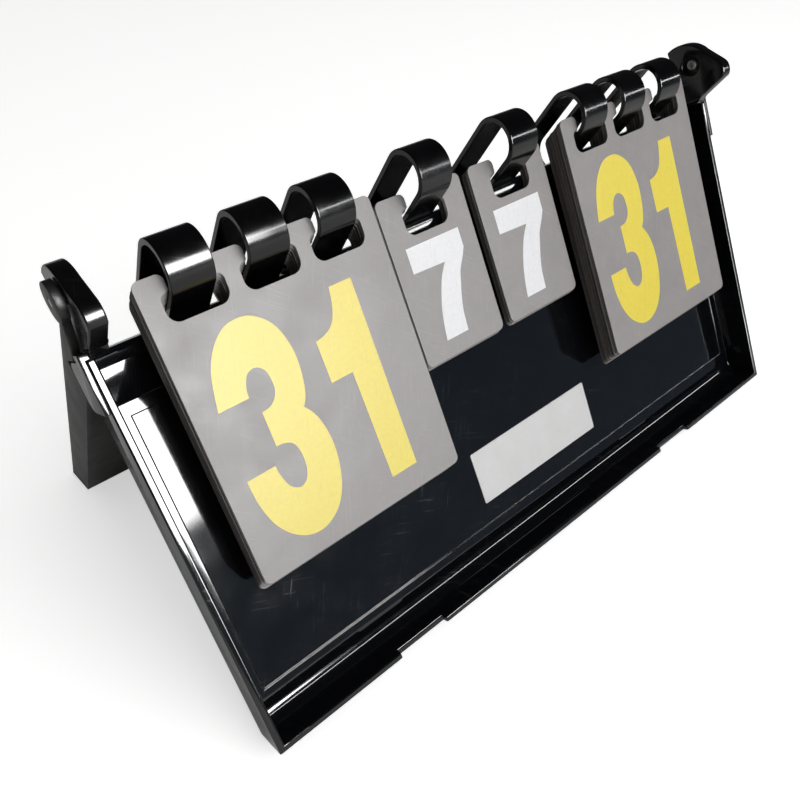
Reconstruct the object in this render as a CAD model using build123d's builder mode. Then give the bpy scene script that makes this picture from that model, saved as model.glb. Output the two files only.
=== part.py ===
from build123d import *
import math
import os

# Tabletop flip scoreboard, standing open on its folded-back cover.
# Millimetres and degrees. Most pieces are drawn in the tray's own directions:
#   x  along the length,  u  up the tray floor from its lower back edge,
#   n  out of the tray floor towards the viewer, from the tray's back plane.

# ---- tray ----
TRAY_LENGTH = 377.4
TRAY_HEIGHT = 177.8
TRAY_DEPTH = 20.1
WALL = 3.2
FLOOR = 2.5
FLOOR_FILLET = 8.0
RIM_HEIGHT = 6.0
RIM_DEPTH = 8.3
RIM_ROUND = 2.6
EDGE_ROUND = 0.9
NOTCH_WIDTH = 28.0
NOTCH_DEPTH = 3.6
NOTCH_LEFT_X = -108.0
NOTCH_RIGHT_X = 93.6
PANEL_STEP = 0.5
PANEL_MARGIN = 5.8
PANEL_BOTTOM_U = 19.0
PANEL_TOP_U = 151.0
STEP_U = 156.5

REST_CUT = 0.6

# ---- fits ----
RUNNING_GAP = 0.3
SEAT_GAP = 0.15
SHAFT_GAP = 0.05

# ---- rings ----
RING_OUTER_RADIUS = 12.2
RING_THICKNESS = 2.7
RING_WIDTH = 17.8
RING_LEG = 34.0
RING_DROP = 28.0
RING_ARC_U = 197.4
RING_ARC_N = 18.7
RING_PITCH = 32.0
RING_EDGE_ROUND = 0.5

# ---- cards ----
CARD_THICKNESS = 0.5
CARD_PITCH = 0.64
NECK_WIDTH = 17.0
NECK_DEPTH = 7.0
NECK_ENTRY_ROUND = 3.0
SHOULDER_ROUND = 1.1
SLOT_WIDTH = 25.4
SLOT_UPPER_ROUND = 2.9
SLOT_LOWER_ROUND = 4.8
POINTS_WIDTH = 105.0
POINTS_HEIGHT = 126.0
POINTS_SLOT_HEIGHT = 11.5
POINTS_FRONT_N = 23.5
POINTS_CENTRE_X = 113.0
POINTS_PACK_COUNT = 19
SETS_WIDTH = 50.0
SETS_HEIGHT = 78.0
SETS_SLOT_HEIGHT = 12.2
SETS_FRONT_N = 13.9
SETS_CENTRE_X = 28.0
SETS_PACK_COUNT = 7
CARD_CORNER = 3.0

# ---- label plate ----
LABEL_LENGTH = 88.7
LABEL_HEIGHT = 28.5
LABEL_THICKNESS = 0.4
LABEL_X = 5.2
LABEL_U = 44.1
LABEL_CORNER = 0.8

# ---- hinge ears ----
EAR_THICKNESS = 7.0
EAR_INNER_X = 180.0
EAR_EDGE_ROUND = 0.8
# outline of the ear as (u, n), from its back foot round the crown to the nose
EAR_BACK_N = 3.0
EAR_NECK_U = 195.0
EAR_NECK_N = 10.0
EAR_CROWN_BACK = (210.1, 8.3)
EAR_CROWN = (211.9, 16.0)
EAR_BROW = (204.9, 30.1)
EAR_NOSE_TOP = (197.2, 38.1)
EAR_NOSE = (192.6, 40.2)
EAR_NOSE_TIP = (188.1, 39.0)
EAR_CHIN = 3.2
PIVOT_U = 199.6
PIVOT_N = 21.5
SCREW_RADIUS = 1.5
SCREW_HEAD_RADIUS = 2.8
SCREW_HEAD_HEIGHT = 1.6
SCREW_SLOT_LENGTH = 3.0
SCREW_SLOT_WIDTH = 0.7
SCREW_SLOT_DEPTH = 0.9
RECESS_RADIUS = 5.6
RECESS_DEPTH = 2.0
PAD_THICKNESS = 2.1
PAD_BOTTOM_U = 157.6
PAD_END_ROUND = 5.0
SHELF_HEIGHT = 2.8
SHELF_BACK_N = 14.0

# ---- cover, in its own directions: t away from the pivot, w from the pivot to the panel ----
COVER_DROP = 25.2
COVER_OPEN_EDGE_W = 5.2
COVER_DEPTH = 17.8
COVER_SIDE = 3.4
COVER_PANEL = 2.4
COVER_END_WALL = 2.6
COVER_PANEL_START_T = 50.0
COVER_PANEL_END_T = 193.0
COVER_FOOT_T = 216.2
ARM_HEAD_RADIUS = 7.5
ARM_GAP = 0.6
ARM_KNEE_RISE = 5.7
ARM_KNEE_REACH = 3.6

half_length = TRAY_LENGTH / 2
outer_x = half_length + PAD_THICKNESS
ear_outer_x = EAR_INNER_X + EAR_THICKNESS
arm_inner_x = outer_x - COVER_SIDE
cover_panel_w = COVER_OPEN_EDGE_W + COVER_DEPTH
ring_inner_radius = RING_OUTER_RADIUS - RING_THICKNESS


def cover_point(t, w):
    """Place (t, w) of the cover on the tray's (u, n), with the cover folded right back."""
    drop = math.radians(COVER_DROP)
    u = PIVOT_U - t * math.sin(drop) - w * math.cos(drop)
    n = PIVOT_N - t * math.cos(drop) + w * math.sin(drop)
    return u, n


# The open scoreboard stands on the tray's lower back edge and on the cover's foot,
# so the lean follows from where the foot is. Both edges are worn to narrow flats,
# REST_CUT high, on which it rests.
foot_u, foot_n = cover_point(COVER_FOOT_T, COVER_OPEN_EDGE_W)
lean = math.atan2(foot_u, -foot_n)
front_y = -TRAY_DEPTH * math.cos(lean)
foot_y = foot_u * math.sin(lean) - foot_n * math.cos(lean)
back_y = foot_y - REST_CUT / math.tan(lean + math.radians(COVER_DROP))
centring_y = -(front_y + back_y) / 2

board = Plane(
    origin=(0, centring_y, -REST_CUT),
    x_dir=(1, 0, 0),
    z_dir=(0, -math.cos(lean), math.sin(lean)),
)


def across(x):
    """Sketch plane square to the length at x: first axis u, second axis n, extruding along +x."""
    return Plane(origin=board.from_local_coords((x, 0, 0)), x_dir=board.y_dir, z_dir=board.x_dir)


def facing(n):
    """Sketch plane parallel to the tray floor at n: first axis x, second axis u."""
    return board.offset(n)


def facing_from(x, u, n):
    """The same, with its first axis starting at x and its second at u."""
    return Plane(origin=board.from_local_coords((x, u, n)), x_dir=board.x_dir, z_dir=board.z_dir)


def cut_rest_flat():
    """Cut the open piece level with the surface that the scoreboard stands on."""
    reach = 2 * (TRAY_LENGTH + COVER_FOOT_T)
    with Locations((0, 0, -reach / 2)):
        Box(reach, reach, reach, mode=Mode.SUBTRACT)


def finish(piece, name):
    """Label a finished piece and write its STEP file."""
    piece.part.label = name
    export_step(piece.part, f"parts/{name}.step")
    print(f"{name:26s} {len(piece.part.solids()):3d} solids {piece.part.volume / 1000:9.2f} cm3")


os.makedirs("parts", exist_ok=True)

# ---- where the rings and the cards lie ----
ring_drop = math.radians(RING_DROP)
leg_u = -math.sin(ring_drop)
leg_n = -math.cos(ring_drop)
side_u = math.cos(ring_drop)
drop_per_depth = math.tan(ring_drop)

points_ring_x = [POINTS_CENTRE_X + k * RING_PITCH for k in (-1, 0, 1)]
ring_places = {
    "ring_points_left_outer": -points_ring_x[2],
    "ring_points_left_middle": -points_ring_x[1],
    "ring_points_left_inner": -points_ring_x[0],
    "ring_sets_left": -SETS_CENTRE_X,
    "ring_sets_right": SETS_CENTRE_X,
    "ring_points_right_inner": points_ring_x[0],
    "ring_points_right_middle": points_ring_x[1],
    "ring_points_right_outer": points_ring_x[2],
}


ring_turn = math.degrees(math.atan2(leg_n, leg_u))
ring_middle = (RING_ARC_U + leg_u * RING_LEG / 2, RING_ARC_N + leg_n * RING_LEG / 2)


def leg_top_u(n):
    """Height u of the upper face of a ring's lower leg where it passes depth n."""
    return RING_ARC_U - ring_inner_radius / side_u - (RING_ARC_N - n) * drop_per_depth


# The front points card hangs where the ring starts to curve, so its shoulders
# rest on the arc; every other card rests on the straight lower leg.
arc_offset = POINTS_FRONT_N - RING_ARC_N
points_shoulder_u = RING_ARC_U - math.sqrt(ring_inner_radius**2 - arc_offset**2) + RUNNING_GAP
sets_shoulder_u = leg_top_u(SETS_FRONT_N) + RUNNING_GAP

# ---- tray ----
with BuildPart() as tray:
    with BuildSketch(facing(0)):
        Rectangle(TRAY_LENGTH, TRAY_HEIGHT, align=(Align.CENTER, Align.MIN))
    extrude(amount=FLOOR)
    # the floor above the cards' slots is one step thicker
    with BuildSketch(facing(FLOOR)):
        with Locations((0, STEP_U)):
            Rectangle(TRAY_LENGTH, TRAY_HEIGHT - STEP_U, align=(Align.CENTER, Align.MIN))
    extrude(amount=PANEL_STEP)
    # the large panel is sunk by one step
    with BuildSketch(facing(FLOOR - PANEL_STEP)):
        with Locations((0, PANEL_BOTTOM_U)):
            Rectangle(
                TRAY_LENGTH - 2 * (WALL + PANEL_MARGIN),
                PANEL_TOP_U - PANEL_BOTTOM_U,
                align=(Align.CENTER, Align.MIN),
            )
    extrude(amount=PANEL_STEP, mode=Mode.SUBTRACT)
    # side walls
    with BuildSketch(facing(0)):
        with Locations((-half_length + WALL / 2, 0), (half_length - WALL / 2, 0)):
            Rectangle(WALL, TRAY_HEIGHT, align=(Align.CENTER, Align.MIN))
    extrude(amount=TRAY_DEPTH)
    # bottom wall with its concave root
    with BuildSketch(across(-half_length)):
        with BuildLine():
            Polyline(
                (WALL, FLOOR + FLOOR_FILLET),
                (WALL, TRAY_DEPTH),
                (0, TRAY_DEPTH),
                (0, 0),
                (WALL + FLOOR_FILLET, 0),
                (WALL + FLOOR_FILLET, FLOOR),
            )
            CenterArc((WALL + FLOOR_FILLET, FLOOR + FLOOR_FILLET), FLOOR_FILLET, 180, 90)
        make_face()
    extrude(amount=TRAY_LENGTH)
    # top rim, a bead with a round upper front edge
    with BuildSketch(across(-half_length)):
        with BuildLine():
            Line((TRAY_HEIGHT - RIM_HEIGHT, 0), (TRAY_HEIGHT, 0))
            Line((TRAY_HEIGHT, 0), (TRAY_HEIGHT, RIM_DEPTH - RIM_ROUND))
            CenterArc((TRAY_HEIGHT - RIM_ROUND, RIM_DEPTH - RIM_ROUND), RIM_ROUND, 0, 90)
            Line((TRAY_HEIGHT - RIM_ROUND, RIM_DEPTH), (TRAY_HEIGHT - RIM_HEIGHT, RIM_DEPTH))
            Line((TRAY_HEIGHT - RIM_HEIGHT, RIM_DEPTH), (TRAY_HEIGHT - RIM_HEIGHT, 0))
        make_face()
    extrude(amount=TRAY_LENGTH)
    # two finger notches in the front lip
    with BuildSketch(facing(TRAY_DEPTH - NOTCH_DEPTH)):
        with Locations((NOTCH_LEFT_X, 0), (NOTCH_RIGHT_X, 0)):
            Rectangle(NOTCH_WIDTH, 2 * WALL)
    extrude(amount=2 * NOTCH_DEPTH, mode=Mode.SUBTRACT)
    lip_edges = tray.edges().filter_by(
        lambda e: abs(board.to_local_coords(e.center()).Z - TRAY_DEPTH) < 0.01
    )
    fillet(lip_edges, EDGE_ROUND)
    # seats for the rings' lower legs, cut by the rings' own outline
    for x in ring_places.values():
        with BuildSketch(across(x - RING_WIDTH / 2 - SEAT_GAP)):
            with Locations(ring_middle):
                SlotCenterToCenter(RING_LEG, 2 * RING_OUTER_RADIUS, rotation=ring_turn)
        extrude(amount=RING_WIDTH + 2 * SEAT_GAP, mode=Mode.SUBTRACT)
    cut_rest_flat()
finish(tray, "tray")

# ---- rings ----
for name, x in ring_places.items():
    with BuildPart() as ring:
        with BuildSketch(across(x - RING_WIDTH / 2)):
            with Locations(ring_middle):
                SlotCenterToCenter(RING_LEG, 2 * RING_OUTER_RADIUS, rotation=ring_turn)
                SlotCenterToCenter(
                    RING_LEG, 2 * ring_inner_radius, rotation=ring_turn, mode=Mode.SUBTRACT
                )
        extrude(amount=RING_WIDTH)
        end_edges = ring.edges().filter_by(lambda e: e.bounding_box().size.X < 0.01)
        fillet(end_edges, RING_EDGE_ROUND)
    finish(ring, name)


# ---- cards ----
def card_outline(width, height, slot_height, slot_places):
    """Card seen from the front, its lower edge on the first axis, with its open-topped slots."""
    shoulder = height - NECK_DEPTH
    slot_bottom = shoulder - slot_height
    with BuildSketch() as outline:
        RectangleRounded(width, height, CARD_CORNER, align=(Align.CENTER, Align.MIN))
        for x in slot_places:
            with Locations((x, height)):
                Rectangle(NECK_WIDTH, 2 * NECK_DEPTH, mode=Mode.SUBTRACT)
            with Locations((x, slot_bottom)):
                Rectangle(
                    SLOT_WIDTH, slot_height, align=(Align.CENTER, Align.MIN), mode=Mode.SUBTRACT
                )
        for x in slot_places:
            near = outline.vertices().filter_by(lambda v: abs(v.X - x) < SLOT_WIDTH / 2 + 0.01)
            fillet(near.filter_by(lambda v: v.Y > height - 0.01), NECK_ENTRY_ROUND)
            near = outline.vertices().filter_by(lambda v: abs(v.X - x) < SLOT_WIDTH / 2 + 0.01)
            fillet(near.filter_by(lambda v: abs(v.Y - slot_bottom) < 0.01), SLOT_LOWER_ROUND)
            near = outline.vertices().filter_by(
                lambda v: abs(abs(v.X - x) - SLOT_WIDTH / 2) < 0.01 and abs(v.Y - shoulder) < 0.01
            )
            fillet(near, SLOT_UPPER_ROUND)
            near = outline.vertices().filter_by(
                lambda v: abs(abs(v.X - x) - NECK_WIDTH / 2) < 0.01 and abs(v.Y - shoulder) < 0.01
            )
            fillet(near, SHOULDER_ROUND)
    return outline.sketch


points_outline = card_outline(
    POINTS_WIDTH, POINTS_HEIGHT, POINTS_SLOT_HEIGHT, (-RING_PITCH, 0, RING_PITCH)
)
sets_outline = card_outline(SETS_WIDTH, SETS_HEIGHT, SETS_SLOT_HEIGHT, (0,))

card_kinds = {
    "points": (
        points_outline, POINTS_CENTRE_X, POINTS_HEIGHT, POINTS_FRONT_N, points_shoulder_u,
        POINTS_PACK_COUNT,
    ),
    "sets": (
        sets_outline, SETS_CENTRE_X, SETS_HEIGHT, SETS_FRONT_N, sets_shoulder_u, SETS_PACK_COUNT,
    ),
}
for kind, (outline, centre_x, height, front_n, shoulder_u, pack_count) in card_kinds.items():
    for hand, side in (("left", -1), ("right", 1)):
        with BuildPart() as front_card:
            rest_u = shoulder_u + NECK_DEPTH - height
            with BuildSketch(facing_from(side * centre_x, rest_u, front_n - CARD_THICKNESS)):
                add(outline)
            extrude(amount=CARD_THICKNESS)
        finish(front_card, f"card_{kind}_{hand}")

        # The cards still behind it: each hangs on the sloping leg, so a little lower.
        hung = []
        for k in range(pack_count):
            face_n = front_n - CARD_THICKNESS - RUNNING_GAP - k * CARD_PITCH
            hang_u = leg_top_u(face_n) + RUNNING_GAP + NECK_DEPTH - height
            hung.append(facing_from(side * centre_x, hang_u, face_n - CARD_THICKNESS))
        with BuildPart() as pack:
            with BuildSketch(*hung):
                add(outline)
            extrude(amount=CARD_THICKNESS)
        finish(pack, f"pack_{kind}_{hand}")

# ---- label plate ----
with BuildPart() as label_plate:
    with BuildSketch(facing(FLOOR - PANEL_STEP)):
        with Locations((LABEL_X, LABEL_U)):
            RectangleRounded(LABEL_LENGTH, LABEL_HEIGHT, LABEL_CORNER)
    extrude(amount=LABEL_THICKNESS)
finish(label_plate, "label_plate")

# ---- hinge ears, pivot screws ----
for hand, side in (("left", -1), ("right", 1)):
    body_start = min(side * EAR_INNER_X, side * ear_outer_x)
    shelf_start = min(side * ear_outer_x, side * outer_x)
    pad_start = min(side * half_length, side * outer_x)
    with BuildPart() as ear:
        with BuildSketch(across(body_start)):
            with BuildLine():
                Line((TRAY_HEIGHT, EAR_BACK_N), (EAR_NECK_U, EAR_NECK_N))
                Line((EAR_NECK_U, EAR_NECK_N), EAR_CROWN_BACK)
                ThreePointArc(EAR_CROWN_BACK, EAR_CROWN, EAR_BROW)
                Line(EAR_BROW, EAR_NOSE_TOP)
                ThreePointArc(EAR_NOSE_TOP, EAR_NOSE, EAR_NOSE_TIP)
                Line(EAR_NOSE_TIP, (TRAY_HEIGHT + SHELF_HEIGHT, TRAY_DEPTH + EAR_CHIN))
                Line((TRAY_HEIGHT + SHELF_HEIGHT, TRAY_DEPTH + EAR_CHIN), (TRAY_HEIGHT, TRAY_DEPTH))
                Line((TRAY_HEIGHT, TRAY_DEPTH), (TRAY_HEIGHT, EAR_BACK_N))
            make_face()
        extrude(amount=EAR_THICKNESS)
        edges_across = ear.edges().filter_by(lambda e: e.bounding_box().size.X < 0.01)
        fillet(
            edges_across.filter_by(
                lambda e: board.to_local_coords(e.center()).Y > TRAY_HEIGHT + SHELF_HEIGHT
            ),
            EAR_EDGE_ROUND,
        )
        # shelf over the tray's wall and pad down its outside
        with BuildSketch(across(shelf_start)):
            with Locations((TRAY_HEIGHT, SHELF_BACK_N)):
                Rectangle(
                    SHELF_HEIGHT, TRAY_DEPTH - SHELF_BACK_N, align=(Align.MIN, Align.MIN)
                )
        extrude(amount=outer_x - ear_outer_x)
        with BuildSketch(across(pad_start)):
            with Locations((PAD_BOTTOM_U, 0)):
                Rectangle(TRAY_HEIGHT - PAD_BOTTOM_U, TRAY_DEPTH, align=(Align.MIN, Align.MIN))
            lower = sorted(vertices(), key=lambda v: board.to_local_coords(v.center()).Y)[:2]
            fillet(lower, PAD_END_ROUND)
        extrude(amount=PAD_THICKNESS)
        # pivot bore and the recess for the screw's head
        with BuildSketch(across(body_start)):
            with Locations((PIVOT_U, PIVOT_N)):
                Circle(SCREW_RADIUS + SHAFT_GAP)
        extrude(amount=EAR_THICKNESS, mode=Mode.SUBTRACT)
        recess_start = side * EAR_INNER_X if side > 0 else -EAR_INNER_X - RECESS_DEPTH
        with BuildSketch(across(recess_start)):
            with Locations((PIVOT_U, PIVOT_N)):
                Circle(RECESS_RADIUS)
        extrude(amount=RECESS_DEPTH, mode=Mode.SUBTRACT)
    finish(ear, f"ear_{hand}")

    seat_x = EAR_INNER_X + RECESS_DEPTH
    with BuildPart() as screw:
        with BuildSketch(across(side * seat_x)):
            with Locations((PIVOT_U, PIVOT_N)):
                Circle(SCREW_HEAD_RADIUS)
        extrude(amount=-side * SCREW_HEAD_HEIGHT)
        rim = screw.edges().filter_by(GeomType.CIRCLE).sort_by(Axis.X)
        fillet(rim[-1] if side < 0 else rim[0], SCREW_HEAD_HEIGHT / 2)
        with BuildSketch(across(side * seat_x)):
            with Locations((PIVOT_U, PIVOT_N)):
                Circle(SCREW_RADIUS)
        extrude(amount=side * (outer_x - seat_x))
        with BuildSketch(across(side * (seat_x - SCREW_HEAD_HEIGHT))):
            with Locations((PIVOT_U, PIVOT_N)):
                Rectangle(SCREW_SLOT_LENGTH, SCREW_SLOT_WIDTH)
                Rectangle(SCREW_SLOT_WIDTH, SCREW_SLOT_LENGTH)
        extrude(amount=side * SCREW_SLOT_DEPTH, mode=Mode.SUBTRACT)
    finish(screw, f"pivot_screw_{hand}")

# ---- cover, folded back as the stand ----
panel_end = cover_point(COVER_PANEL_END_T, cover_panel_w)
foot = cover_point(COVER_FOOT_T, COVER_OPEN_EDGE_W)
# the arms' front edge meets the tray's back plane, less the gap, here
arm_back_t = (PIVOT_N + ARM_GAP + cover_panel_w * math.sin(math.radians(COVER_DROP))) / math.cos(
    math.radians(COVER_DROP)
)
arm_seat_u = TRAY_HEIGHT + ARM_GAP
end_length = math.hypot(COVER_FOOT_T - COVER_PANEL_END_T, COVER_DEPTH)
end_slope = (COVER_FOOT_T - COVER_PANEL_END_T) / COVER_DEPTH
end_wall_t = COVER_END_WALL * end_length / COVER_DEPTH

with BuildPart() as cover:
    for start in (-outer_x, arm_inner_x):
        with BuildSketch(across(start)):
            with Locations((PIVOT_U, PIVOT_N)):
                Circle(ARM_HEAD_RADIUS)
            with BuildLine():
                Polyline(
                    cover_point(0, COVER_OPEN_EDGE_W),
                    foot,
                    panel_end,
                    cover_point(arm_back_t, cover_panel_w),
                    (arm_seat_u, -ARM_GAP),
                    (arm_seat_u, SHELF_BACK_N - ARM_KNEE_REACH - ARM_GAP),
                    (arm_seat_u + ARM_KNEE_RISE, SHELF_BACK_N + ARM_KNEE_REACH - ARM_GAP),
                    (PIVOT_U - ARM_HEAD_RADIUS * 0.9, PIVOT_N + ARM_HEAD_RADIUS * 0.3),
                    cover_point(0, COVER_OPEN_EDGE_W),
                )
            make_face()
        extrude(amount=COVER_SIDE)
    # panel and end wall between the sides
    with BuildSketch(across(-arm_inner_x)):
        with BuildLine():
            Polyline(
                cover_point(COVER_PANEL_START_T, cover_panel_w),
                panel_end,
                foot,
                cover_point(COVER_FOOT_T - end_wall_t, COVER_OPEN_EDGE_W),
                cover_point(
                    COVER_FOOT_T - end_wall_t - (COVER_DEPTH - COVER_PANEL) * end_slope,
                    cover_panel_w - COVER_PANEL,
                ),
                cover_point(COVER_PANEL_START_T, cover_panel_w - COVER_PANEL),
                cover_point(COVER_PANEL_START_T, cover_panel_w),
            )
        make_face()
    extrude(amount=2 * arm_inner_x)
    for start in (-outer_x, arm_inner_x):
        with BuildSketch(across(start)):
            with Locations((PIVOT_U, PIVOT_N)):
                Circle(SCREW_RADIUS + SHAFT_GAP)
        extrude(amount=COVER_SIDE, mode=Mode.SUBTRACT)
    cut_rest_flat()
finish(cover, "cover")
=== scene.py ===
"""Looks of a tabletop flip scoreboard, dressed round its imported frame."""

import logging
import math
import random
from dataclasses import dataclass
from enum import Enum

import bmesh
import bpy
from mathutils import Matrix, Vector


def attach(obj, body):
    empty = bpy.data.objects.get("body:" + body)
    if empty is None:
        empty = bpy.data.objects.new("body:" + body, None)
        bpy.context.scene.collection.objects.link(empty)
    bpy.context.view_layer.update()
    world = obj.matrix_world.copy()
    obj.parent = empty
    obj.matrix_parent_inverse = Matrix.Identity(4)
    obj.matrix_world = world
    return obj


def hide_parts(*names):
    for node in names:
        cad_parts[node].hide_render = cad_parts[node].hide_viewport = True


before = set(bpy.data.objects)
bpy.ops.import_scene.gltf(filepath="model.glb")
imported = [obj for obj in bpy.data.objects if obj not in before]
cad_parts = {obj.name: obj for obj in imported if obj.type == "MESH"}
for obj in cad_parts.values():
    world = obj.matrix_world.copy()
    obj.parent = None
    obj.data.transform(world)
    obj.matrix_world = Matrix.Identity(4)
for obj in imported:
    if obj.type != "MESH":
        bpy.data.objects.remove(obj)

log = logging.getLogger("scoreboard")
logging.basicConfig(level=logging.INFO, format="%(message)s")

MM = 0.001
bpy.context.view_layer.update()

# points of a mesh that lie nearer than this are merged
MERGE_DISTANCE = 0.001 * MM
# faces that meet at less than the first angle are one; edges sharper than the second are rounded
FLAT_ANGLE = math.radians(0.4)
SHARP_ANGLE = math.radians(38)
BEVEL_SEGMENTS = 2
# refractive indices of the plastics
ABS_IOR = 1.54
PVC_IOR = 1.53
VINYL_IOR = 1.5
# where nearly all values of a noise texture lie
NOISE_SPAN = (0.3, 0.7)
# a scratch's length, in distances between scratches
SCRATCH_LENGTH = 26
SCRATCH_EDGE = ((0.635, 0.0), (0.68, 1.0))
WHITE = (1.0, 1.0, 1.0, 1.0)
BLACK = (0.0, 0.0, 0.0, 1.0)

Socket = bpy.types.NodeSocket
Tree = bpy.types.ShaderNodeTree
Run = tuple[tuple[float, float], ...]
Stops = tuple[tuple[float, float], ...]
Hairs = tuple[tuple[float, float], tuple[float, float]]


class Figure(Enum):
    """The plain figures that are printed on the cards."""

    THREE = "three"
    ONE = "one"
    SEVEN = "seven"


# Outlines in millimetres from the middle of the card's lower edge. Each run starts at a
# corner and curves through its points to the first point of the next run.
FIGURE_RUNS: dict[Figure, tuple[Run, ...]] = {
    Figure.THREE: (
        (
            (-42.3, 71.2), (-40.5, 79.6), (-38.0, 87.7), (-33.7, 94.6), (-28.0, 99.4),
            (-22.0, 100.8), (-16.2, 99.9), (-10.5, 95.9), (-6.8, 90.2), (-4.7, 82.1),
            (-4.4, 75.9), (-5.2, 68.4), (-6.9, 62.1),
        ),
        (
            (-9.3, 58.1), (-6.8, 54.6), (-4.7, 49.6), (-3.4, 42.7), (-3.3, 35.9),
            (-4.3, 28.4), (-6.8, 20.2), (-11.2, 13.4), (-16.8, 9.4), (-23.0, 8.0),
            (-29.3, 9.6), (-35.5, 14.6), (-39.9, 22.1), (-42.2, 30.9), (-42.9, 38.4),
        ),
        ((-42.9, 42.2),),
        (
            (-30.0, 42.2), (-29.7, 38.4), (-28.0, 32.7), (-25.5, 29.9), (-23.0, 29.1),
            (-20.2, 30.6), (-18.4, 34.0), (-17.7, 39.0), (-18.2, 44.0), (-19.9, 47.1),
            (-23.0, 48.7),
        ),
        ((-26.4, 49.0),),
        (
            (-26.4, 63.9), (-22.4, 64.6), (-19.7, 66.5), (-18.0, 69.6), (-17.7, 73.4),
            (-18.4, 77.7), (-20.5, 80.2), (-23.0, 81.0), (-25.9, 79.9), (-27.7, 77.1),
            (-28.7, 74.0),
        ),
        ((-29.0, 71.2),),
    ),
    Figure.ONE: (
        ((20.1, 97.6),),
        ((31.1, 97.6),),
        ((30.8, 10.9),),
        ((17.0, 10.9),),
        ((16.7, 61.4),),
        ((6.0, 61.4),),
        ((6.0, 79.6), (10.7, 80.6), (14.5, 82.7), (17.3, 86.5), (19.1, 92.1)),
    ),
    Figure.SEVEN: (
        ((-16.6, 54.6),),
        ((15.6, 54.6),),
        ((15.6, 45.2), (13.4, 41.3), (9.8, 35.9), (7.7, 30.2), (5.6, 23.8), (4.1, 17.3)),
        ((3.4, 7.9),),
        ((-10.3, 7.9), (-9.4, 14.5), (-7.7, 22.3), (-5.2, 29.5), (-2.3, 35.9), (0.6, 40.2)),
        ((2.3, 42.3),),
        ((-16.6, 42.9),),
    ),
}
CURVE_STEPS = 5


@dataclass(frozen=True)
class Board:
    """The leaning tray's own directions, in millimetres: x, u up its floor, n out of it."""

    lean: float = math.radians(30.88912)
    back_y: float = -91.33523
    back_z: float = -0.6

    def point(self, x: float, u: float, n: float) -> Vector:
        """Place a point of the board in the row frame.

        Args:
            x: along the length.
            u: up the tray's floor from its lower back edge.
            n: out of the floor, from the tray's back plane.

        Returns:
            The point in metres.
        """
        y = self.back_y + u * math.sin(self.lean) - n * math.cos(self.lean)
        z = self.back_z + u * math.cos(self.lean) + n * math.sin(self.lean)
        return Vector((x, y, z)) * MM

    def measure(self, point: Vector) -> Vector:
        """Give a point of the row frame in the board's x, u and n, in millimetres."""
        y = point.y / MM - self.back_y
        z = point.z / MM - self.back_z
        u = y * math.sin(self.lean) + z * math.cos(self.lean)
        n = z * math.sin(self.lean) - y * math.cos(self.lean)
        return Vector((point.x / MM, u, n))


BOARD = Board()


def linear(hex_code: str) -> tuple[float, float, float, float]:
    """Turn an sRGB hex colour to the linear one that a socket takes.

    Args:
        hex_code: such as "#8b8583".

    Returns:
        Linear red, green, blue and an alpha of 1.
    """
    shares = [int(hex_code[i : i + 2], 16) / 255 for i in (1, 3, 5)]
    r, g, b = (s / 12.92 if s <= 0.04045 else ((s + 0.055) / 1.055) ** 2.4 for s in shares)
    return (r, g, b, 1.0)


def feed(tree: Tree, node: bpy.types.Node, inputs: dict) -> None:
    """Give a node's inputs their values and links.

    Args:
        tree: the node tree.
        node: the node that takes them.
        inputs: a value or a socket for each named or numbered input.
    """
    for key, value in inputs.items():
        if isinstance(value, bpy.types.NodeSocket):
            tree.links.new(value, node.inputs[key])
        else:
            node.inputs[key].default_value = value


def add(tree: Tree, kind: str, inputs: dict | None = None, stops: list | None = None, **settings):
    """Add one node with its settings and links.

    Args:
        tree: the node tree.
        kind: the node's type name without "ShaderNode".
        inputs: a value or a socket for each named or numbered input.
        stops: the (place, colour) stops of a colour ramp.
        **settings: the node's own properties.

    Returns:
        The new node.
    """
    node = tree.nodes.new("ShaderNode" + kind)
    for name, value in settings.items():
        setattr(node, name, value)
    feed(tree, node, inputs or {})
    for i, (place, colour) in enumerate(stops or []):
        ramp = node.color_ramp.elements
        stop = ramp[i] if i < 2 else ramp.new(place)
        stop.position = place
        stop.color = colour if isinstance(colour, tuple) else (colour, colour, colour, 1.0)
    return node


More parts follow.
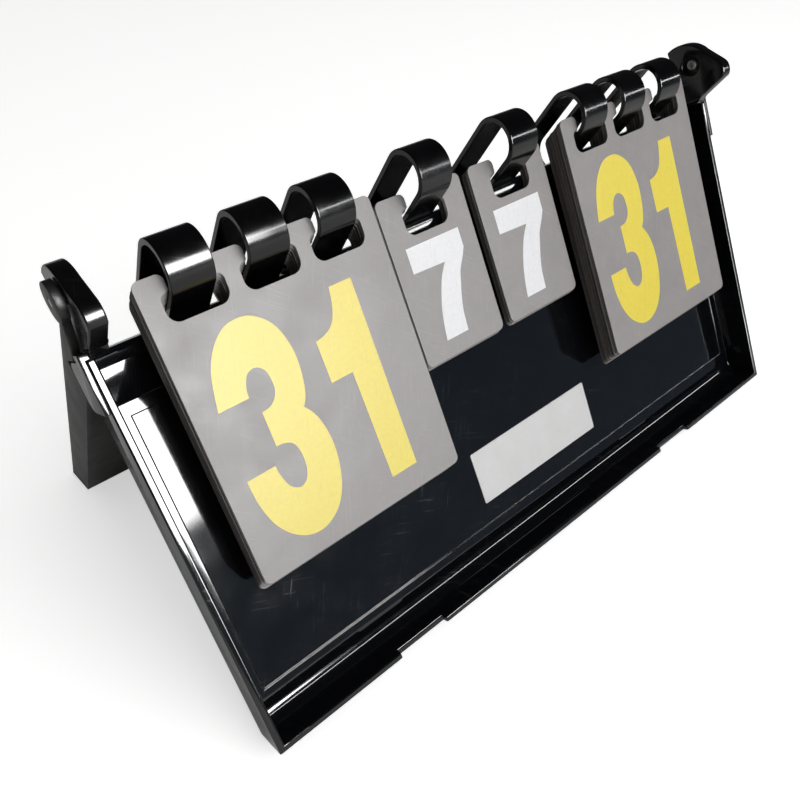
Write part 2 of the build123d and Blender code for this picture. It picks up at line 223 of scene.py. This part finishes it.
@dataclass(frozen=True)
class Surface:
    """A material in the making: its nodes, and the board's coordinates in millimetres."""

    material: bpy.types.Material
    tree: Tree
    shader: bpy.types.Node
    board: Socket

    @classmethod
    def start(cls, name: str) -> "Surface":
        """Start a material.

        Args:
            name: the material's name.

        Returns:
            Its surface, with a principled shader that is still plain.
        """
        material = bpy.data.materials.new(name)
        material.use_nodes = True
        tree = material.node_tree
        board = add(
            tree,
            "Mapping",
            {
                "Vector": add(tree, "TexCoord").outputs["Object"],
                "Location": (0, BOARD.back_y * MM, BOARD.back_z * MM),
                "Rotation": (math.pi / 2 - BOARD.lean, 0, 0),
                "Scale": (MM, MM, MM),
            },
            vector_type="TEXTURE",
        )
        return cls(material, tree, tree.nodes["Principled BSDF"], board.outputs["Vector"])

    def noise(self, size: float, detail: float, roughness: float = 0.6) -> Socket:
        """Lay noise over the surface.

        Args:
            size: the rough width of its blotches in millimetres.
            detail: how many finer layers it has.
            roughness: how strong the finer layers are.

        Returns:
            Its strength.
        """
        return add(
            self.tree,
            "TexNoise",
            {"Vector": self.board, "Scale": 1 / size, "Detail": detail, "Roughness": roughness},
        ).outputs[0]

    def scratches(self, spacing: float, turn: float) -> Socket:
        """Draw fine straight scratches in one direction.

        Args:
            spacing: the scratches' rough distance in millimetres.
            turn: their direction in degrees, in the plane of the tray's floor.

        Returns:
            1 on a scratch and 0 beside it.
        """
        length = SCRATCH_LENGTH * spacing
        turned = add(
            self.tree,
            "Mapping",
            {
                "Vector": self.board,
                "Rotation": (0, 0, math.radians(turn)),
                "Scale": (length, spacing, length),
            },
            vector_type="TEXTURE",
        )
        lines = add(
            self.tree,
            "TexNoise",
            {"Vector": turned.outputs[0], "Scale": 1.0, "Detail": 2.0, "Roughness": 0.6},
        )
        return self.ramp(lines.outputs[0], SCRATCH_EDGE)

    def ramp(self, value: Socket, stops: Stops) -> Socket:
        """Turn a value to a grey through a ramp's (place, grey) stops."""
        return add(self.tree, "ValToRGB", {0: value}, stops=list(stops)).outputs[0]

    def spread(
        self, value: Socket, low: float, high: float, span: tuple[float, float] = NOISE_SPAN
    ) -> Socket:
        """Carry a value over from one span to another.

        Args:
            value: what is carried over.
            low: what the span's start becomes.
            high: what the span's end becomes.
            span: the value's own start and end.

        Returns:
            The value in its new span.
        """
        return add(
            self.tree,
            "MapRange",
            {
                "Value": value,
                "From Min": span[0],
                "From Max": span[1],
                "To Min": low,
                "To Max": high,
            },
        ).outputs[0]

    def reckon(self, operation: str, *values: object, clamp: bool = False) -> Socket:
        """Do one sum.

        Args:
            operation: the sum's name in Blender.
            *values: numbers or sockets, in order.
            clamp: whether the result stays between 0 and 1.

        Returns:
            The result.
        """
        return add(
            self.tree, "Math", dict(enumerate(values)), operation=operation, use_clamp=clamp
        ).outputs[0]

    def blend(self, share: Socket, colour: str, other: str) -> Socket:
        """Blend a hex colour into another one, by a share from 0 to 1."""
        return add(
            self.tree, "MixRGB", {0: share, 1: linear(colour), 2: linear(other)}
        ).outputs[0]

    def lighter(self, one: Socket, other: Socket) -> Socket:
        """Keep the lighter of two greys."""
        return add(
            self.tree, "MixRGB", {0: 1.0, 1: one, 2: other}, blend_type="LIGHTEN"
        ).outputs[0]

    def bump(self, height: Socket, strength: float, depth: float) -> Socket:
        """Give the surface a relief, with its depth in millimetres."""
        return add(
            self.tree, "Bump", {"Height": height, "Strength": strength, "Distance": depth * MM}
        ).outputs[0]

    def complete(self, inputs: dict) -> bpy.types.Material:
        """Give the shader its inputs and hand the material over."""
        feed(self.tree, self.shader, inputs)
        return self.material


class Finish:
    """What a piece is made of."""

    name: str

    def build(self) -> bpy.types.Material:
        """Make the material."""
        raise NotImplementedError


def dress(piece: bpy.types.Object, material: bpy.types.Material) -> None:
    """Give a piece one material in all its slots.

    Args:
        piece: a CAD node or a new piece.
        material: what it is made of.
    """
    if not piece.material_slots:
        piece.data.materials.append(material)
    for slot in piece.material_slots:
        slot.material = material


@dataclass(frozen=True)
class GlossyAbs(Finish):
    """Injection-moulded ABS from a polished mould: deep gloss, hairline scuffs, dust."""

    name: str
    colour: str
    scuffed: str
    roughness: float
    scuffs: float
    hairs: Hairs = ((1.1, 62), (0.9, -24))
    ripple_size: float = 38.0
    ripple_depth: float = 0.25
    patch_size: float = 30.0
    patch_edge: Stops = ((0.44, 0.0), (0.62, 1.0))
    dust_spacing: float = 3.4
    speck_edge: Stops = ((0.05, 1.0), (0.075, 0.0))
    haze: tuple[float, float] = (0.7, 1.5)
    dulling: float = 0.4

    def build(self) -> bpy.types.Material:
        """Make the material."""
        surface = Surface.start(self.name)
        # moulded parts ripple a little, which bends what the gloss reflects
        ripple = surface.noise(self.ripple_size, 1.0, 0.4)
        hairs = surface.lighter(*(surface.scratches(*hair) for hair in self.hairs))
        patches = surface.noise(self.patch_size, 3.0, 0.65)
        patch = surface.ramp(patches, self.patch_edge)
        dust = add(
            surface.tree,
            "TexVoronoi",
            {"Vector": surface.board, "Scale": 1 / self.dust_spacing, "Randomness": 1.0},
        )
        speck = surface.ramp(dust.outputs["Distance"], self.speck_edge)
        worn = surface.reckon("MULTIPLY", hairs, patch)
        dirt = surface.reckon("MAXIMUM", worn, speck, clamp=True)
        shown = surface.reckon("MULTIPLY", dirt, self.scuffs)
        hazy = surface.spread(patches, *(self.roughness * share for share in self.haze))
        dulled = surface.reckon("MULTIPLY", shown, self.dulling)
        return surface.complete(
            {
                "IOR": ABS_IOR,
                "Base Color": surface.blend(shown, self.colour, self.scuffed),
                "Roughness": surface.reckon("ADD", hazy, dulled),
                "Normal": surface.bump(ripple, 0.5, self.ripple_depth),
            }
        )


@dataclass(frozen=True)
class TexturedAbs(Finish):
    """Moulded ABS with a fine spark-eroded grain: satin, dark grey, rubbed paler in places."""

    name: str
    colour: str
    rubbed: str
    grain: float = 0.7
    grain_depth: float = 0.08
    roughness: float = 0.42
    haze: tuple[float, float] = (0.85, 1.2)
    wear_size: float = 24.0
    wear_edge: Stops = ((0.42, 0.0), (0.75, 1.0))

    def build(self) -> bpy.types.Material:
        """Make the material."""
        surface = Surface.start(self.name)
        grain = surface.noise(self.grain, 3.0)
        wear = surface.noise(self.wear_size, 4.0, 0.7)
        worn = surface.ramp(wear, self.wear_edge)
        return surface.complete(
            {
                "IOR": ABS_IOR,
                "Base Color": surface.blend(worn, self.colour, self.rubbed),
                "Roughness": surface.spread(
                    wear, *(self.roughness * share for share in self.haze)
                ),
                "Normal": surface.bump(grain, 0.35, self.grain_depth),
            }
        )


@dataclass(frozen=True)
class GreyPvc(Finish):
    """Calendered matte PVC sheet, die-cut: a faint mottle, pale hairline scuffs, dull edges."""

    name: str
    colour: str = "#7f7a79"
    scuffed: str = "#99938f"
    by_sheet: bool = False
    hairs: Hairs = ((0.7, 71), (0.8, -38))
    hair_share: float = 0.28
    mottle_size: float = 17.0
    mottle_tone: tuple[float, float] = (-0.05, 0.3)
    grain: float = 0.8
    grain_depth: float = 0.05
    roughness: tuple[float, float] = (0.5, 0.62)

    def build(self) -> bpy.types.Material:
        """Make the material."""
        surface = Surface.start(self.name)
        mottle = surface.noise(self.mottle_size, 5.0, 0.62)
        hairs = surface.lighter(*(surface.scratches(*hair) for hair in self.hairs))
        tone = surface.spread(mottle, *self.mottle_tone)
        marks = surface.reckon("MULTIPLY_ADD", hairs, self.hair_share, tone, clamp=True)
        colour = surface.blend(marks, self.colour, self.scuffed)
        if self.by_sheet:
            # each sheet of a pack is a little lighter or darker than its neighbours
            sheet = add(surface.tree, "Attribute", attribute_name=Pack.TONE)
            colour = add(
                surface.tree,
                "MixRGB",
                {0: 1.0, 1: colour, 2: sheet.outputs["Color"]},
                blend_type="MULTIPLY",
            ).outputs[0]
        grain = surface.noise(self.grain, 2.0)
        return surface.complete(
            {
                "IOR": PVC_IOR,
                "Base Color": colour,
                "Roughness": surface.spread(mottle, *self.roughness),
                "Normal": surface.bump(grain, 0.25, self.grain_depth),
            }
        )


@dataclass(frozen=True)
class ScreenInk(Finish):
    """Screen-printed vinyl ink: opaque and satin, uneven where it lies thin."""

    name: str
    colour: str
    thin: str
    roughness: float = 0.48
    # the real mesh of about 0.1 mm can't show, so the uneven lay is drawn larger
    lay_size: float = 1.5
    lay_edge: Stops = ((0.35, 0.0), (0.8, 0.6))
    scratch: tuple[float, float] = (0.7, 71)
    scratch_share: float = 0.8

    def build(self) -> bpy.types.Material:
        """Make the material."""
        surface = Surface.start(self.name)
        lay = surface.noise(self.lay_size, 4.0, 0.7)
        cover = surface.ramp(lay, self.lay_edge)
        scratched = add(
            surface.tree,
            "MixRGB",
            {0: self.scratch_share, 1: BLACK, 2: surface.scratches(*self.scratch)},
        )
        worn = surface.lighter(cover, scratched.outputs[0])
        return surface.complete(
            {
                "IOR": VINYL_IOR,
                "Roughness": self.roughness,
                "Base Color": surface.blend(worn, self.colour, self.thin),
            }
        )


@dataclass(frozen=True)
class WhiteVinyl(Finish):
    """Cast white vinyl label film: clean and semi-gloss, a little grey where handled."""

    name: str = "white_vinyl_film"
    colour: str = "#e9e9ea"
    handled: str = "#d8d8d6"
    roughness: float = 0.33
    haze_size: float = 14.0

    def build(self) -> bpy.types.Material:
        """Make the material."""
        surface = Surface.start(self.name)
        haze = surface.noise(self.haze_size, 3.0)
        return surface.complete(
            {
                "IOR": VINYL_IOR,
                "Roughness": self.roughness,
                "Base Color": surface.blend(haze, self.colour, self.handled),
            }
        )


@dataclass(frozen=True)
class ZincSteel(Finish):
    """Zinc-plated steel screw: a dull bright metal, stained in small patches."""

    name: str = "zinc_plated_steel"
    colour: str = "#c3c1bc"
    stained: str = "#98958e"
    stain_size: float = 1.2
    roughness: tuple[float, float] = (0.22, 0.5)

    def build(self) -> bpy.types.Material:
        """Make the material."""
        surface = Surface.start(self.name)
        stain = surface.noise(self.stain_size, 3.0)
        return surface.complete(
            {
                "Metallic": 1.0,
                "Roughness": surface.spread(stain, *self.roughness, span=(0.0, 1.0)),
                "Base Color": surface.blend(stain, self.colour, self.stained),
            }
        )


def smooth_outline(runs: tuple[Run, ...]) -> list[tuple[float, float]]:
    """Round the runs of an outline with Catmull-Rom curves between its corners.

    Args:
        runs: each starts at a corner and curves to the first point of the next run.

    Returns:
        The closed outline's points, in order.
    """
    outline: list[tuple[float, float]] = []
    for i, run in enumerate(runs):
        path = list(run) + [runs[(i + 1) % len(runs)][0]]
        if len(path) == 2:
            outline.append(path[0])
            continue
        ends = [path[0], *path, path[-1]]
        for k in range(1, len(ends) - 2):
            for step in range(CURVE_STEPS):
                t = step / CURVE_STEPS
                weights = (
                    -0.5 * t**3 + t**2 - 0.5 * t,
                    1.5 * t**3 - 2.5 * t**2 + 1,
                    -1.5 * t**3 + 2 * t**2 + 0.5 * t,
                    0.5 * t**3 - 0.5 * t**2,
                )
                near = ends[k - 1 : k + 3]
                outline.append(
                    (
                        sum(w * p[0] for w, p in zip(weights, near)),
                        sum(w * p[1] for w, p in zip(weights, near)),
                    )
                )
    return outline


def add_piece(name: str, bm: bmesh.types.BMesh) -> bpy.types.Object:
    """Turn a bmesh to a piece of the scene.

    Args:
        name: the piece's name.
        bm: its mesh, which is freed.

    Returns:
        The piece.
    """
    mesh = bpy.data.meshes.new(name)
    bm.to_mesh(mesh)
    bm.free()
    piece = bpy.data.objects.new(name, mesh)
    bpy.context.scene.collection.objects.link(piece)
    return piece


def rounded_copy(node: str, name: str, radius: float) -> bpy.types.Object:
    """Copy a CAD node's mesh and take its sharp edges off.

    Args:
        node: the CAD node.
        name: the new piece's name.
        radius: of the rounded edges, in millimetres.

    Returns:
        The piece, with the bevel applied and flat faces kept flat.
    """
    bm = bmesh.new()
    bm.from_mesh(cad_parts[node].data)
    bmesh.ops.remove_doubles(bm, verts=bm.verts, dist=MERGE_DISTANCE)
    bmesh.ops.dissolve_limit(bm, angle_limit=FLAT_ANGLE, verts=bm.verts, edges=bm.edges)
    piece = add_piece(name, bm)
    for polygon in piece.data.polygons:
        polygon.use_smooth = True
    bevel = piece.modifiers.new("edges", "BEVEL")
    bevel.width = radius * MM
    bevel.segments = BEVEL_SEGMENTS
    bevel.limit_method = "ANGLE"
    bevel.angle_limit = SHARP_ANGLE
    bevel.use_clamp_overlap = False
    bevel.harden_normals = True
    depsgraph = bpy.context.evaluated_depsgraph_get()
    piece.data = bpy.data.meshes.new_from_object(piece.evaluated_get(depsgraph))
    piece.modifiers.clear()
    return piece


@dataclass
class Case:
    """Tray, hinge ears with their screws, and the cover that is folded back as the stand."""

    edge_radius: float = 0.35
    tray_finish: Finish = GlossyAbs("black_abs_polished", "#0a0b0e", "#4a4d52", 0.07, 0.16)
    ear_finish: Finish = GlossyAbs("black_abs_ear", "#070708", "#3a3a3c", 0.18, 0.12)
    cover_finish: Finish = TexturedAbs("dark_grey_abs_satin", "#121110", "#211e1b")
    screw_finish: Finish = ZincSteel()

    def build(self) -> None:
        """Dress the case's pieces."""
        ear = self.ear_finish.build()
        screw = self.screw_finish.build()
        self.round_off("tray", "tray_shell", "tray_body", self.tray_finish.build())
        self.round_off("cover", "cover_shell", "cover_body", self.cover_finish.build())
        for hand in ("left", "right"):
            self.round_off(f"ear_{hand}", f"ear_shell_{hand}", "tray_body", ear)
            dress(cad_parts[f"pivot_screw_{hand}"], screw)

    def round_off(
        self, node: str, name: str, body: str, material: bpy.types.Material
    ) -> None:
        """Replace a CAD node by its copy with softened edges.

        Args:
            node: the CAD node.
            name: the new piece's name.
            body: the body it rides on.
            material: what it is made of.
        """
        piece = rounded_copy(node, name, self.edge_radius)
        dress(piece, material)
        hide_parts(node)
        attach(piece, body)
        log.info("%s stands for %s", name, node)


@dataclass
class Rings:
    """The eight black loops that the cards hang on."""

    finish: Finish = GlossyAbs("black_abs_ring", "#050506", "#3a3b3e", 0.17, 0.1)

    def build(self) -> None:
        """Dress the rings."""
        material = self.finish.build()
        for name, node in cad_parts.items():
            if name.startswith("ring_"):
                dress(node, material)
                log.info("%s dressed", name)


@dataclass(frozen=True)
class Card:
    """A front card of the CAD frame with the figures that are printed on it."""

    node: str
    body: str
    figures: tuple[Figure, ...]
    ink_height: float = 0.04

    def build(self, sheet: bpy.types.Material, ink: bpy.types.Material) -> None:
        """Dress the card and print its figures.

        Args:
            sheet: the card's material.
            ink: the figures' material.
        """
        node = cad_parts[self.node]
        dress(node, sheet)
        corners = [BOARD.measure(v.co) for v in node.data.vertices]
        middle = (max(c.x for c in corners) + min(c.x for c in corners)) / 2
        lower = min(c.y for c in corners)
        face = max(c.z for c in corners)
        for figure in self.figures:
            outline = [(middle + x, lower + u) for x, u in smooth_outline(FIGURE_RUNS[figure])]
            piece = self.print_figure(f"{self.node}_{figure.value}", outline, face)
            dress(piece, ink)
            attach(piece, self.body)
            log.info("%s printed", piece.name)

    def print_figure(
        self, name: str, outline: list[tuple[float, float]], face: float
    ) -> bpy.types.Object:
        """Lay a thin film of ink on the card.

        Args:
            name: the piece's name.
            outline: in the board's x and u.
            face: the card's front face, as the board's n.

        Returns:
            The film.
        """
        bm = bmesh.new()
        base = [bm.verts.new(BOARD.point(x, u, face)) for x, u in outline]
        bottom = bm.faces.new(base)
        raised = bmesh.ops.extrude_face_region(bm, geom=[bottom])["geom"]
        lift = BOARD.point(0, 0, self.ink_height) - BOARD.point(0, 0, 0)
        bmesh.ops.translate(
            bm, vec=lift, verts=[v for v in raised if isinstance(v, bmesh.types.BMVert)]
        )
        bmesh.ops.triangulate(bm, faces=bm.faces)
        bmesh.ops.recalc_face_normals(bm, faces=bm.faces)
        return add_piece(name, bm)


@dataclass(frozen=True)
class Pack:
    """The thin cards that hang behind a front card, fanned a little out of true."""

    TONE = "sheet_tone"

    node: str
    card: str
    seed: int
    sheet: float = 0.34
    pitch: float = 0.40
    leg_drop: float = math.radians(28)
    side_play: float = 0.55
    drop_play: float = 0.22
    tilt_play: float = math.radians(0.16)
    shades: tuple[float, ...] = (0.5, 0.72, 0.85, 1.0, 1.1)

    def build(self, material: bpy.types.Material) -> None:
        """Make the sheets and put them in the CAD pack's place.

        Args:
            material: the sheets' material.
        """
        chance = random.Random(self.seed)
        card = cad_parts[self.card].data
        shape = [BOARD.measure(v.co) for v in card.vertices]
        front = max(p.z for p in shape)
        back = min(p.z for p in shape)
        top = max(p.y for p in shape)
        middle = (max(p.x for p in shape) + min(p.x for p in shape)) / 2
        behind = [BOARD.measure(v.co).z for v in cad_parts[self.node].data.vertices]
        nearest, deepest = max(behind), min(behind)
        count = int((nearest - deepest) / self.pitch)
        bm = bmesh.new()
        tone = bm.loops.layers.float_color.new(self.TONE)
        for k in range(count):
            face = nearest - k * self.pitch
            hang = -(front - face) * math.tan(self.leg_drop)
            shift = chance.uniform(-self.side_play, self.side_play)
            drop = chance.uniform(-self.drop_play, self.drop_play)
            tilt = chance.uniform(-self.tilt_play, self.tilt_play)
            shade = chance.choice(self.shades)
            start = len(bm.faces)
            bm.from_mesh(card)
            bm.verts.ensure_lookup_table()
            bm.faces.ensure_lookup_table()
            for vert, p in zip(bm.verts[-len(shape) :], shape):
                across, up = p.x - middle, p.y - top
                depth = face - self.sheet * (front - p.z) / (front - back)
                vert.co = BOARD.point(
                    middle + shift + across - up * tilt,
                    top + hang + drop + up + across * tilt,
                    depth,
                )
            for face_of_sheet in bm.faces[start:]:
                for loop in face_of_sheet.loops:
                    loop[tone] = (shade, shade, shade, 1.0)
        bmesh.ops.remove_doubles(bm, verts=bm.verts, dist=MERGE_DISTANCE)
        piece = add_piece(f"sheets_{self.node}", bm)
        dress(piece, material)
        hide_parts(self.node)
        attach(piece, "tray_body")
        log.info("%s: %d sheets", piece.name, count)


@dataclass
class Cards:
    """The four front cards, their packs and their prints."""

    sheet_finish: Finish = GreyPvc("grey_pvc_sheet")
    # the packs' sheets are the same grey PVC as the front cards, in darker colours: painted shade
    # where they hang in shadow behind the front cards
    pack_finish_painted_shade: Finish = GreyPvc("grey_pvc_pack_painted_shade", "#57504d", "#6f6865", by_sheet=True)
    yellow: Finish = ScreenInk("yellow_screen_ink", "#efd800", "#dfca10")
    white: Finish = ScreenInk("white_screen_ink", "#efeff2", "#dcdcdc")
    points_seed: int = 11
    sets_seed: int = 21

    def build(self) -> None:
        """Dress the cards, print them and hang the packs."""
        sheet = self.sheet_finish.build()
        pack = self.pack_finish_painted_shade.build()
        yellow = self.yellow.build()
        white = self.white.build()
        for side, hand in enumerate(("left", "right")):
            points = (Figure.THREE, Figure.ONE)
            Card(f"card_points_{hand}", f"points_card_{hand}_body", points).build(sheet, yellow)
            Card(f"card_sets_{hand}", f"sets_card_{hand}_body", (Figure.SEVEN,)).build(
                sheet, white
            )
            for kind, seed in (("points", self.points_seed), ("sets", self.sets_seed)):
                Pack(f"pack_{kind}_{hand}", f"card_{kind}_{hand}", seed + side).build(pack)


@dataclass
class Label:
    """The bare white label on the tray's floor."""

    finish: Finish = WhiteVinyl()

    def build(self) -> None:
        """Dress the label."""
        dress(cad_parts["label_plate"], self.finish.build())
        log.info("label_plate dressed")


class Reach(Enum):
    """Which rays a lamp reaches."""

    LIGHTS = "lights the surfaces"
    MIRRORED = "shows only in gloss"


@dataclass(frozen=True)
class SoftLight:
    """A rectangular studio lamp that shines at one point."""

    name: str
    place: tuple[float, float, float]
    aim: tuple[float, float, float]
    size: tuple[float, float]
    power: float
    reach: Reach
    colour: str = "#ffffff"

    def build(self) -> None:
        """Hang the lamp."""
        lamp = bpy.data.lights.new(self.name, "AREA")
        lamp.shape = "RECTANGLE"
        lamp.size, lamp.size_y = self.size
        lamp.energy = self.power
        lamp.color = linear(self.colour)[:3]
        holder = bpy.data.objects.new(self.name, lamp)
        away = Vector(self.place) - Vector(self.aim)
        holder.matrix_world = (
            Matrix.Translation(self.place) @ away.to_track_quat("Z", "Y").to_matrix().to_4x4()
        )
        holder.visible_camera = False
        holder.visible_glossy = self.reach is Reach.MIRRORED
        holder.visible_diffuse = self.reach is Reach.LIGHTS
        bpy.context.scene.collection.objects.link(holder)
        log.info("%s hung", self.name)


@dataclass
class Studio:
    """Pale floor, plain soft light and the camera at the photograph's viewing angle."""

    floor_size: float = 9.0
    floor_colour: str = "#f4f4f3"
    floor_roughness: float = 0.9
    floor_gloss: float = 0.1
    floor_lift: float = 0.55
    ambient: float = 0.3
    # what gloss mirrors: a room's colours by height, and how far in front it starts and is full
    room: tuple[tuple[float, str], ...] = (
        (0.0, "#76818c"),
        (0.14, "#6a7886"),
        (0.26, "#33373d"),
        (1.0, "#242528"),
    )
    room_start: float = -0.2
    room_full: float = -0.9
    darkness: str = "#26272a"
    camera_place: tuple[float, float, float] = (-0.232244, -0.229365, 0.319274)
    camera_right: tuple[float, float, float] = (0.760615, -0.649138, 0.009262)
    camera_down: tuple[float, float, float] = (-0.434924, -0.520102, -0.735075)
    focal_share: float = 722.56 / 800
    sensor_width: float = 36.0
    clip_start: float = 0.01
    shift: tuple[float, float] = (0.0024, 0.0030)
    lamps: tuple[SoftLight, ...] = (
        SoftLight(
            "key_softbox", (0.35, -1.25, 1.35), (0, 0, 0.08), (1.3, 1.1), 17.0, Reach.LIGHTS
        ),
        SoftLight(
            "ceiling_strip", (0.75, -0.88, 0.605), (0.75, 0, 0.06), (2.1, 0.05), 7.0,
            Reach.MIRRORED,
        ),
        # a tall window in front, which the left end of the tray's floor mirrors
        SoftLight(
            "front_window", (0.15, -1.55, 0.80), (-0.17, -0.04, 0.12), (0.85, 0.80), 75.0,
            Reach.MIRRORED,
        ),
    )

    def build(self) -> None:
        """Set up the studio."""
        self.lay_floor()
        self.paint_world()
        self.place_camera()
        for lamp in self.lamps:
            lamp.build()

    def lay_floor(self) -> None:
        """Lay the pale floor that the scoreboard stands on."""
        bm = bmesh.new()
        bmesh.ops.create_grid(bm, x_segments=2, y_segments=2, size=self.floor_size / 2)
        floor = add_piece("studio_floor", bm)
        material = bpy.data.materials.new("matte_white_board")
        material.use_nodes = True
        tree = material.node_tree
        seen = add(tree, "LightPath").outputs["Is Camera Ray"]
        lift = add(tree, "Math", {0: seen, 1: self.floor_lift}, operation="MULTIPLY")
        feed(
            tree,
            tree.nodes["Principled BSDF"],
            {
                "Base Color": linear(self.floor_colour),
                "Roughness": self.floor_roughness,
                "Specular IOR Level": self.floor_gloss,
                "Emission Color": WHITE,
                "Emission Strength": lift.outputs[0],
            },
        )
        dress(floor, material)
        log.info("studio_floor laid")

    def paint_world(self) -> None:
        """Paint the surroundings: white to the camera, and dim and low-keyed to the gloss."""
        world = bpy.data.worlds.new("studio_world")
        bpy.context.scene.world = world
        world.use_nodes = True
        tree = world.node_tree
        background = tree.nodes["Background"]
        path = add(tree, "LightPath")
        way = add(tree, "SeparateXYZ", {0: add(tree, "TexCoord").outputs["Generated"]})
        # a dim blue-grey room in front, low down, and near darkness above and behind
        low = add(
            tree,
            "ValToRGB",
            {0: way.outputs["Z"]},
            stops=[(height, linear(colour)) for height, colour in self.room],
        )
        ahead = add(
            tree,
            "MapRange",
            {
                "Value": way.outputs["Y"],
                "From Min": self.room_start,
                "From Max": self.room_full,
            },
        )
        gloss = add(
            tree,
            "MixRGB",
            {0: ahead.outputs[0], 1: linear(self.darkness), 2: low.outputs[0]},
        )
        ambient = (self.ambient, self.ambient, self.ambient, 1.0)
        soft = add(
            tree,
            "MixRGB",
            {0: path.outputs["Is Glossy Ray"], 1: ambient, 2: gloss.outputs[0]},
        )
        seen = add(
            tree,
            "MixRGB",
            {0: path.outputs["Is Camera Ray"], 1: soft.outputs[0], 2: WHITE},
        )
        tree.links.new(seen.outputs[0], background.inputs["Color"])
        background.inputs["Strength"].default_value = 1.0

    def place_camera(self) -> None:
        """Set the camera where the photograph was taken."""
        lens = bpy.data.cameras.new("view")
        lens.sensor_width = self.sensor_width
        lens.lens = self.focal_share * lens.sensor_width
        lens.shift_x, lens.shift_y = self.shift
        lens.clip_start = self.clip_start
        right, down = Vector(self.camera_right), Vector(self.camera_down)
        back = right.cross(-down)
        turn = Matrix((right, -down, back)).transposed().to_4x4()
        camera = bpy.data.objects.new("view", lens)
        camera.matrix_world = Matrix.Translation(self.camera_place) @ turn
        bpy.context.scene.collection.objects.link(camera)
        bpy.context.scene.camera = camera
        bpy.context.scene.view_settings.view_transform = "Standard"


def main() -> None:
    """Build every sub-assembly in order."""
    for part in (Case(), Rings(), Cards(), Label(), Studio()):
        part.build()
        log.info("%s built", type(part).__name__)


if __name__ == "__main__":
    main()
